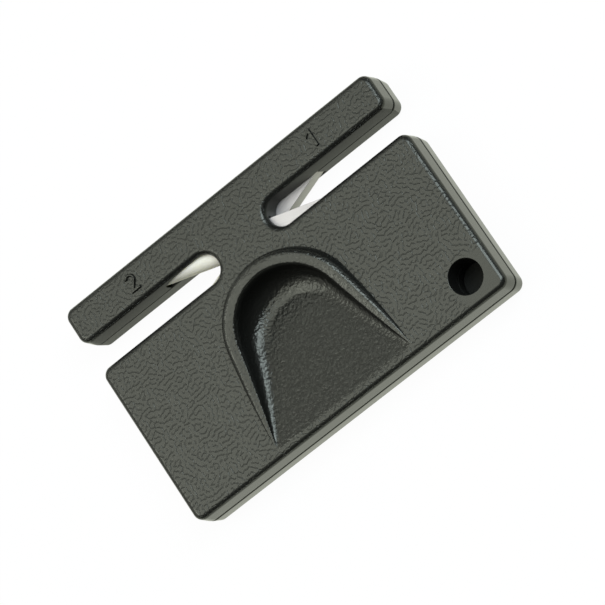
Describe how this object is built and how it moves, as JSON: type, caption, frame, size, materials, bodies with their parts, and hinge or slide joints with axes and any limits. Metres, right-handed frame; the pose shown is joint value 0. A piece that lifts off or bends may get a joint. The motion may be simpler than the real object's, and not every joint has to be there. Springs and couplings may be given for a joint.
{
  "type": "pocket knife sharpener",
  "caption": "Flat pull-through pocket knife sharpener: grained black plastic shells with a ridged thumb scoop, a fine slot of crossed ceramic rods and a coarse slot of crossed carbide blades.",
  "frame": {"origin": "centre of the flat back face that it lies on", "axes": "+X along the slots towards the coarse one, +Y towards the bar above the slots, +Z out of the front face with the thumb scoop"},
  "size_m": [0.0644, 0.0418, 0.0118],
  "materials": {
    "shell_plastic": "moulded grain on the faces, smooth satin edges and walls",
    "rod_ceramic": "fired ceramic, cream, fine matt",
    "blade_carbide": "ground grey carbide"
  },
  "bodies": {
    "root": {"front_shell": "shell_plastic", "back_shell": "shell_plastic", "fine_rod_front": "rod_ceramic", "fine_rod_back": "rod_ceramic", "coarse_blade_front": "blade_carbide", "coarse_blade_back": "blade_carbide"}
  },
  "joints": []
}
